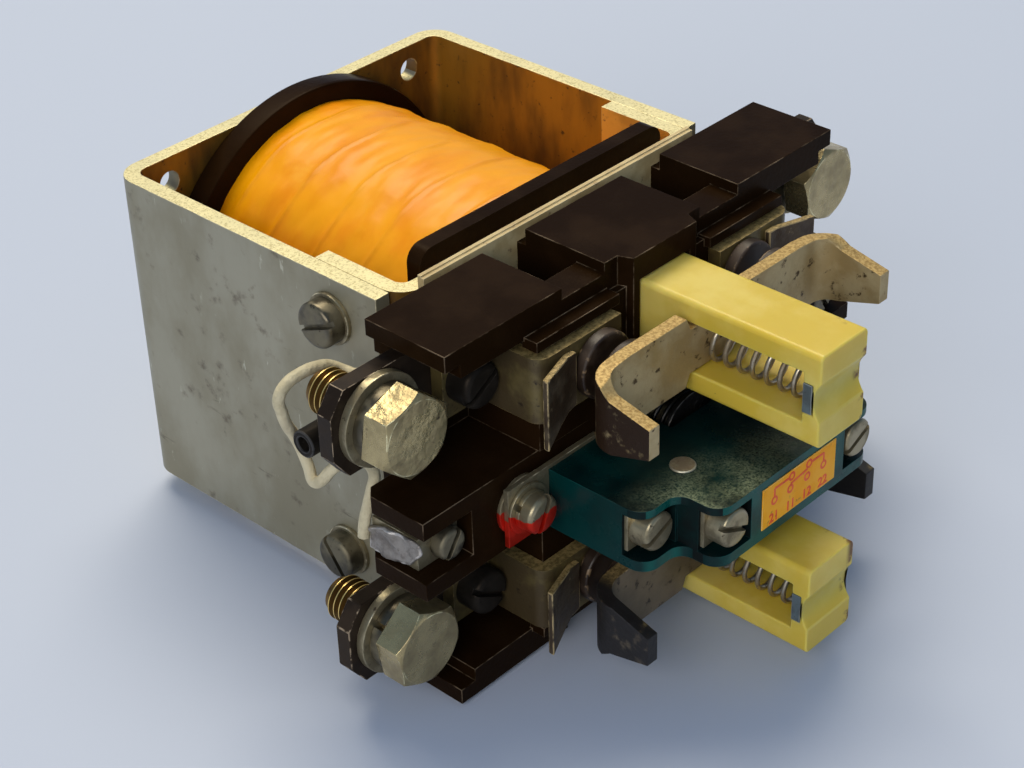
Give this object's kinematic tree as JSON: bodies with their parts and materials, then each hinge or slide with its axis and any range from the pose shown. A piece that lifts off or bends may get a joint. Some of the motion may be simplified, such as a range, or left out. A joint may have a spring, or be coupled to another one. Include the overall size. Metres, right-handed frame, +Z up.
{
  "type": "dc contactor",
  "caption": "Open two-pole DC contactor: taped coil in a bent steel yoke, black contact base, bridging contacts in sliding nylon carriers and a green auxiliary contact block",
  "frame": {"origin": "centre of the four mounting holes on the yoke's rear face", "axes": "+Z up, +Y to the rear and out of the mounting face, X across the terminals"},
  "size_m": [0.1234, 0.1277, 0.07],
  "materials": {
    "zinc_steel": "dull zinc plate",
    "dark_screw_steel": "dark zinc plate",
    "bright_zinc": "worn zinc plate",
    "spring_washer_steel": "oxidised",
    "pressboard": "matt",
    "soft_iron": "turned",
    "plain_steel": "plain",
    "brass": "plain",
    "black_moulding": "semi-gloss with chipped edges",
    "orange_tape": "varnished",
    "dark_copper": "oxidised",
    "tinned_copper": "oxidised",
    "contact_metal": "burnt",
    "yellow_zinc": "yellow zinc plate",
    "black_steel": "blackened",
    "solder": "smooth",
    "lead_braid": "braided",
    "rubber": "matt",
    "green_moulding": "semi-gloss, dusty",
    "yellow_label": "printed film",
    "yellow_nylon": "satin",
    "grey_steel": "plain",
    "spring_steel": "drawn wire",
    "dark_spring_steel": "blackened wire",
    "white_nylon": "satin"
  },
  "bodies": {
    "frame": {"yoke": "zinc_steel", "pole_plate": "zinc_steel", "yoke_screws": "dark_screw_steel", "yoke_screw_washers": "bright_zinc", "insulating_sheet": "pressboard", "fixed_core": "soft_iron", "core_screw": "plain_steel", "guide_tube": "brass", "coil_bobbin": "black_moulding", "coil_winding": "orange_tape", "contact_base": "black_moulding", "base_screws": "plain_steel", "terminal_strip_upper_left": "dark_copper", "terminal_strip_upper_right": "dark_copper", "terminal_strip_lower_left": "dark_copper", "terminal_strip_lower_right": "dark_copper", "terminal_bolts": "yellow_zinc", "terminal_washers": "bright_zinc", "terminal_spring_washers": "spring_washer_steel", "strip_screws": "black_steel", "fixed_contact_upper_left": "tinned_copper", "fixed_contact_upper_right": "tinned_copper", "fixed_contact_lower_left": "tinned_copper", "fixed_contact_lower_right": "tinned_copper", "fixed_buttons": "contact_metal", "arc_plates": "tinned_copper", "coil_clips": "bright_zinc", "coil_clip_screws": "bright_zinc", "coil_solder": "solder", "left_coil_lead": "lead_braid", "lead_sleeve": "rubber", "right_coil_lead": "lead_braid", "auxiliary_housing": "green_moulding", "auxiliary_rivets": "brass", "auxiliary_label": "yellow_label", "auxiliary_terminals": "brass", "auxiliary_clamp_washers": "bright_zinc", "auxiliary_screws": "bright_zinc", "auxiliary_brackets": "bright_zinc", "bracket_screws": "bright_zinc", "bracket_spring_washers": "spring_washer_steel", "bracket_washers": "bright_zinc", "bracket_spacers": "bright_zinc", "return_spring": "dark_spring_steel"},
    "armature": {"plunger": "soft_iron", "pull_rod": "plain_steel", "spring_cup": "plain_steel", "traverse": "black_moulding", "carrier_screws": "plain_steel", "upper_carrier": "yellow_nylon", "lower_carrier": "yellow_nylon", "spring_seats": "grey_steel", "upper_contact_spring": "spring_steel", "lower_contact_spring": "spring_steel", "auxiliary_pusher": "white_nylon", "auxiliary_moving_contact": "brass"},
    "upper_bridge_unit": {"upper_bridge": "tinned_copper", "upper_bridge_buttons": "contact_metal"},
    "lower_bridge_unit": {"lower_bridge": "tinned_copper", "lower_bridge_buttons": "contact_metal"}
  },
  "joints": [
    {"name": "armature_slide", "type": "slide", "parent": "frame", "child": "armature", "axis": [0, 1, 0], "range_m": [0, 0.006], "stiffness_N_per_m": 370, "springref_m": -0.008, "deforming": ["return_spring"]},
    {"name": "upper_bridge_slide", "type": "slide", "parent": "armature", "child": "upper_bridge_unit", "axis": [0, 1, 0], "range_m": [-0.00324, 0], "deforming": ["upper_contact_spring"]},
    {"name": "lower_bridge_slide", "type": "slide", "parent": "armature", "child": "lower_bridge_unit", "axis": [0, 1, 0], "range_m": [-0.00324, 0], "deforming": ["lower_contact_spring"]}
  ],
  "couplings": [
    {"joint": "upper_bridge_slide", "follows": "armature_slide", "ratio": -0.54},
    {"joint": "lower_bridge_slide", "follows": "armature_slide", "ratio": -0.54}
  ]
}
